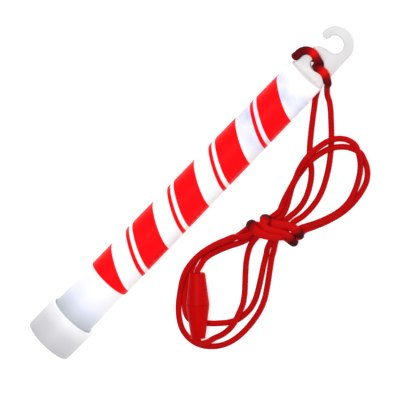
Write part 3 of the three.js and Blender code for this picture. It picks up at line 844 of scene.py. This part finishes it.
tube_outline = rounded([
    (0, TUBE_TIP - TIP_WALL), (tube_radius(TUBE_TIP) - TUBE_WALL, TUBE_TIP - TIP_WALL),
    (tube_radius(CAP_RIM) - TUBE_WALL, CAP_RIM), (tube_radius(CAP_RIM) - TUBE_WALL, TUBE_FOOT),
    (TUBE_RIM_RADIUS, TUBE_FOOT), (TUBE_RIM_RADIUS, CAP_RIM), (TUBE_TIP_RADIUS, TUBE_TIP), (0, TUBE_TIP),
], TUBE_EDGE, TUBE_EDGE_STEPS)
tube = turned("light_stick_tube", tube_outline, TUBE_SIDES, stick_place)
tube.data.materials.append(white_polyethylene())
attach(tube, "stick")
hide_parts("tube_and_hook")

# The tab and hook: part of the tube's moulding, a flat plate with eased edges, a
# round hole for the lanyard, and an open hook to hang the stick by.
TAB_THICKNESS = 2.6
TAB_EDGE = 0.45
TAB_LEFT = -6.1
TAB_RIGHT = 6.4
TAB_SHOULDER = (-5.05, 63.6)
HOLE_RADIUS = 2.35
HOLE_HEIGHT = 60.3
HOOK_OUTER = (-0.15, 69.75, 6.25)
THROAT = (-0.45, 69.4, 3.2)
HOOK_TIP = (-4.75, 70.3, 1.65)
SLOPE_BEND = (0.9, -0.3)
SLOPE_STEPS = 10
THROAT_ARC = (-90, 152, 40)
TIP_ARC = (20, -180, 20)
ARC_STEPS = 40
WELD_DISTANCE = 1e-6


def arc(circle, start, end, steps):
    """Points round a circle, from one angle to another in degrees."""
    x, y, radius = circle
    angles = (math.radians(start + (end - start) * i / steps) for i in range(steps + 1))
    return [(x + radius * math.cos(a), y + radius * math.sin(a)) for a in angles]


def tab_outline():
    """The plate's outline: up the left side and the slope, round the throat, the hook's tip and its back."""
    root = TUBE_TIP - TIP_WALL / 2
    throat_foot = THROAT[1] - THROAT[2]
    bend = (TAB_SHOULDER[0] + SLOPE_BEND[0], throat_foot + SLOPE_BEND[1])
    slope = [
        tuple(
            (1 - t) ** 2 * a + 2 * t * (1 - t) * b + t * t * c
            for a, b, c in zip(TAB_SHOULDER, bend, (THROAT[0], throat_foot))
        )
        for t in (i / SLOPE_STEPS for i in range(SLOPE_STEPS))
    ]
    meet = 180 - math.degrees(math.asin((HOOK_TIP[1] - HOOK_OUTER[1]) / HOOK_OUTER[2]))
    return (
        [(TAB_LEFT, root), (TAB_LEFT, TUBE_TIP)] + slope + arc(THROAT, *THROAT_ARC) + arc(HOOK_TIP, *TIP_ARC)[1:]
        + arc(HOOK_OUTER, meet, 0, ARC_STEPS)[1:] + [(TAB_RIGHT, TUBE_TIP), (TAB_RIGHT, root)]
    )


def moulded_plate(name, outlines, thickness, edge):
    """A plate of that outline with rounded edges, from a filled and bevelled curve."""
    curve = bpy.data.curves.new(name, "CURVE")
    curve.dimensions = "2D"
    curve.fill_mode = "BOTH"
    for points in outlines:
        spline = curve.splines.new("POLY")
        spline.points.add(len(points) - 1)
        for point, (x, y) in zip(spline.points, points):
            point.co = (x * MM, y * MM, 0, 1)
        spline.use_cyclic_u = True
    curve.extrude = (thickness / 2 - edge) * MM
    curve.bevel_depth = edge * MM
    curve.bevel_resolution = 4
    curve.offset = -edge * MM
    carrier = bpy.data.objects.new(name, curve)
    scene.collection.objects.link(carrier)
    graph = bpy.context.evaluated_depsgraph_get()
    mesh = bpy.data.meshes.new_from_object(carrier.evaluated_get(graph), depsgraph=graph)
    bpy.data.objects.remove(carrier)
    bpy.data.curves.remove(curve)
    shape = bmesh.new()
    shape.from_mesh(mesh)
    bmesh.ops.remove_doubles(shape, verts=shape.verts, dist=WELD_DISTANCE)
    bmesh.ops.recalc_face_normals(shape, faces=shape.faces)
    for face in shape.faces:
        face.smooth = True
    shape.transform(from_stick)
    shape.to_mesh(mesh)
    shape.free()
    mesh.set_sharp_from_angle(angle=SMOOTH_ANGLE)
    piece = bpy.data.objects.new(name, mesh)
    scene.collection.objects.link(piece)
    return piece


def plate_polyethylene():
    """The same polyethylene with nothing behind it: a flat warm grey-white."""
    material, tree, shader = bare_material("moulded_polyethylene_solid", {"Roughness": 0.42, "IOR": 1.51})
    place = add(tree, "ShaderNodeTexCoord").outputs["Object"]
    tree.links.new(mottled(tree, place, 220.0, "D3D3D5", "DAD7D8"), shader.inputs["Base Color"])
    fine_grain(tree, shader, place, scale=900.0, strength=0.12, depth=0.00005)
    return material


hole = arc((0, HOLE_HEIGHT, HOLE_RADIUS), 360, 0, ARC_STEPS)[:-1]
tab = moulded_plate("light_stick_tab_and_hook", [tab_outline(), hole], TAB_THICKNESS, TAB_EDGE)
tab.data.materials.clear()
tab.data.materials.append(plate_polyethylene())
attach(tab, "stick")
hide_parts("tube_and_hook")

# The stripe: red bands printed on clear shrink film, drawn down on the tube. One
# broad band and one narrow one wind round together, with clear film between, and
# the narrow one runs out a little below the film's top.
FILM_FOOT = CAP_RIM + 18.4
FILM_TOP = TUBE_TIP - 7.2
FILM_GAP = 0.05
FILM_THICKNESS = 0.15
FILM_RINGS = 40
BAND_PITCH = 20.73
BAND_SWAY = (0.8, -0.713, -0.157)
BAND_START = 34.556
BROAD_BAND = 10.264
NARROW_BAND = (17.518, 19.09)
NARROW_TOP = 109.0


def printed_film():
    """Glossy printed shrink film: solid red ink bands, and the milky tube seen through the clear."""
    material, tree, shader = bare_material("printed_shrink_film", {
        "IOR": 1.57, "Roughness": 0.35, "Specular IOR Level": 0.03,
    })
    clear, around, above = cloudy_white(tree)
    turn = add(tree, MATHS, (around, 0.5), operation="SUBTRACT")
    angle = add(tree, MATHS, (turn, 2 * math.pi), operation="MULTIPLY")
    twice = add(tree, MATHS, (angle, 2.0), operation="MULTIPLY")
    sine = add(tree, MATHS, (angle,), operation="SINE")
    twice_sine = add(tree, MATHS, (twice,), operation="SINE")
    cosine = add(tree, MATHS, (angle,), operation="COSINE")
    dip = add(tree, MATHS, (cosine, 1.0), operation="SUBTRACT")
    height = add(tree, MATHS, (turn, BAND_PITCH, above), operation="MULTIPLY_ADD")
    for wave, swing in zip((sine, twice_sine, dip), BAND_SWAY):
        height = add(tree, MATHS, (wave, -swing, height), operation="MULTIPLY_ADD")
    height = add(tree, MATHS, (height, 10 * BAND_PITCH - BAND_START), operation="ADD")
    spot = add(tree, MATHS, (height, BAND_PITCH), operation="MODULO")
    broad = add(tree, MATHS, (spot, BROAD_BAND), operation="LESS_THAN")
    middle, half = sum(NARROW_BAND) / 2, (NARROW_BAND[1] - NARROW_BAND[0]) / 2
    narrow = add(tree, MATHS, (spot, middle, half), operation="COMPARE")
    below_top = add(tree, MATHS, (above, NARROW_TOP), operation="LESS_THAN")
    ink = add(tree, MATHS, (narrow, below_top, broad), operation="MULTIPLY_ADD")
    place = add(tree, "ShaderNodeTexCoord").outputs["Object"]
    red = mottled(tree, place, 400.0, "FB0B14", "FF0D17")
    colour = add(tree, "ShaderNodeMix", {"Factor": ink, 6: clear, 7: red}, data_type="RGBA").outputs[2]
    tree.links.new(colour, shader.inputs["Base Color"])
    fine_grain(tree, shader, place, scale=180.0, strength=0.08, depth=0.00008, detail=2.0)
    return material


def film_radius(y):
    """The film's inside radius at a height, just clear of the tube."""
    return tube_radius(y) + FILM_GAP


film_heights = np.linspace(FILM_FOOT, FILM_TOP, FILM_RINGS)
film_outline = [(film_radius(y) + FILM_THICKNESS, y) for y in film_heights]
film_outline += [(film_radius(y), y) for y in film_heights[::-1]]
film = turned("stripe_film_sleeve", film_outline, TUBE_SIDES, stick_place, closed=True)
film.data.materials.append(printed_film())
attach(film, "stick")
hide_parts("stripe_film")

# The cap: a push-on cup of opaque white polyethylene with a rolled lip, a rounded
# base and a shallow recess under it with the mark of the gate.
CAP_BASE = -76.0
CAP_BASE_RADIUS = 8.85
CAP_RIM_RADIUS = 9.1
CAP_FLOOR = 1.7
CAP_EDGE = 0.55
CAP_EDGE_STEPS = 8
CAP_CLEARANCE = 0.06
GATE_DEPTH = 0.15
GATE_RADII = (1.1, 1.2)
RECESS_DEPTH = 0.5
RECESS_RADII = (5.8, 6.1)
CAP_SHADE_SPAN = 13.0


def matte_polyethylene():
    """Opaque high-density polyethylene: white, nearly matte, with painted shade that greys it towards the base."""
    material, tree, shader = bare_material("moulded_polyethylene_matte", {"Roughness": 0.5, "IOR": 1.54})
    uv = add(tree, "ShaderNodeUVMap", uv_map="UVMap").outputs["UV"]
    height = add(tree, "ShaderNodeSeparateXYZ", {0: uv}).outputs["Y"]
    above = add(tree, MATHS, (height, UV_LENGTH, -CAP_BASE), operation="MULTIPLY_ADD")
    place = add(tree, "ShaderNodeTexCoord").outputs["Object"]
    cloud = add(tree, "ShaderNodeTexNoise", {"Vector": place, "Scale": 260.0, "Detail": 4.0})
    level = add(tree, MATHS, (above, 0.8), operation="SUBTRACT")
    spread = add(tree, MATHS, (cloud, 1.6, level), operation="MULTIPLY_ADD")
    share = add(tree, MATHS, (spread, CAP_SHADE_SPAN), operation="DIVIDE")
    # Painted shade: grey at the base rising to white at the rim.
    ramp = add(tree, "ShaderNodeValToRGB", {"Fac": share})
    ramp.color_ramp.elements[0].color = srgb("C4C4C9")
    ramp.color_ramp.elements[1].color = srgb("F7F7FB")
    for spot, code in ((0.3, "D0D0D5"), (0.54, "D8D8DC"), (0.7, "E6E6EA"), (0.85, "F2F2F6")):
        ramp.color_ramp.elements.new(spot).color = srgb(code)
    tree.links.new(ramp.outputs["Color"], shader.inputs["Base Color"])
    fine_grain(tree, shader, place, scale=1100.0, strength=0.2, depth=0.00006)
    return material


cap_bore = TUBE_RIM_RADIUS + CAP_CLEARANCE
cap_outline = rounded([
    (0, CAP_BASE + GATE_DEPTH), (GATE_RADII[0], CAP_BASE + GATE_DEPTH), (GATE_RADII[1], CAP_BASE + RECESS_DEPTH),
    (RECESS_RADII[0], CAP_BASE + RECESS_DEPTH), (RECESS_RADII[1], CAP_BASE), (CAP_BASE_RADIUS, CAP_BASE),
    (CAP_RIM_RADIUS, CAP_RIM), (cap_bore, CAP_RIM), (cap_bore, CAP_BASE + CAP_FLOOR), (0, CAP_BASE + CAP_FLOOR),
], CAP_EDGE, CAP_EDGE_STEPS)
cap = turned("light_stick_cap", cap_outline, TUBE_SIDES, stick_place)
cap.data.materials.append(matte_polyethylene())
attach(cap, "stick")
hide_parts("end_cap")

# Inside the tube: the plug that seals it, the glass ampoule of activator, and the
# dye solution round it. They keep the frame's own shapes and take real finishes.
INNER_FINISHES = (
    ("tube_plug", "moulded_polyethylene_plug", "E9E9EA", 0.5, 1.51, 0.0),
    ("ampoule", "drawn_soda_glass", "F2F8FA", 0.03, 1.52, 1.0),
    ("activator_fluid", "activator_liquid", "F4F8FC", 0.0, 1.40, 1.0),
    ("dye_solution", "dye_liquid", "E4E8FF", 0.0, 1.48, 0.9),
)


def inner_finish(name, code, roughness, ior, transmission):
    """A plain clear or white finish with faint streaks, as glass is drawn and liquid settles."""
    material, tree, shader = bare_material(name, {
        "Roughness": roughness, "IOR": ior, "Transmission Weight": transmission,
    })
    place = add(tree, "ShaderNodeTexCoord").outputs["Object"]
    tree.links.new(mottled(tree, place, 120.0, code, "FFFFFF"), shader.inputs["Base Color"])
    return material


for node, name, code, roughness, ior, transmission in INNER_FINISHES:
    material = inner_finish(name, code, roughness, ior, transmission)
    for slot in bpy.data.objects[node].material_slots:
        slot.material = material

# The floor and the light: a plain white floor, faintly lit from within so that it
# stays white, under a large soft light. A second, shadowless light opens up the
# dark side of the tube's tip and the tab.
FLOOR_HALF = 2
FLOOR_WHITE = (0.9, 0.9, 0.9, 1)
FLOOR_GLOW = 0.45
WORLD_STRENGTH = 0.4
WHITE = (1, 1, 1, 1)

floor_mesh = bpy.data.meshes.new("floor")
floor_corners = [(x * FLOOR_HALF, y * FLOOR_HALF, 0) for x, y in ((-1, -1), (1, -1), (1, 1), (-1, 1))]
floor_mesh.from_pydata(floor_corners, [], [(0, 1, 2, 3)])
floor = bpy.data.objects.new("floor", floor_mesh)
scene.collection.objects.link(floor)
floor_finish, _, floor_shader = bare_material("white_paper", {
    "Base Color": FLOOR_WHITE, "Roughness": 0.9, "Specular IOR Level": 0.0,
    "Emission Color": WHITE, "Emission Strength": FLOOR_GLOW,
})
floor_mesh.materials.append(floor_finish)

world = bpy.data.worlds.new("studio")
scene.world = world
world.use_nodes = True
background = world.node_tree.nodes["Background"]
background.inputs["Color"].default_value = WHITE
background.inputs["Strength"].default_value = WORLD_STRENGTH


def disc_light(name, size, energy, place, shadow=True):
    """A round soft light that faces the middle of the floor."""
    light = bpy.data.lights.new(name, "AREA")
    light.shape = "DISK"
    light.size = size
    light.energy = energy
    light.use_shadow = shadow
    lamp = bpy.data.objects.new(name, light)
    scene.collection.objects.link(lamp)
    lamp.location = place
    lamp.rotation_euler = (-lamp.location).to_track_quat("-Z", "Y").to_euler()


disc_light("softbox", size=0.7, energy=9.3, place=(-0.15, 0.2, 1.2))
disc_light("fill", size=0.6, energy=3.0, place=(0.45, 1.0, 0.5), shadow=False)
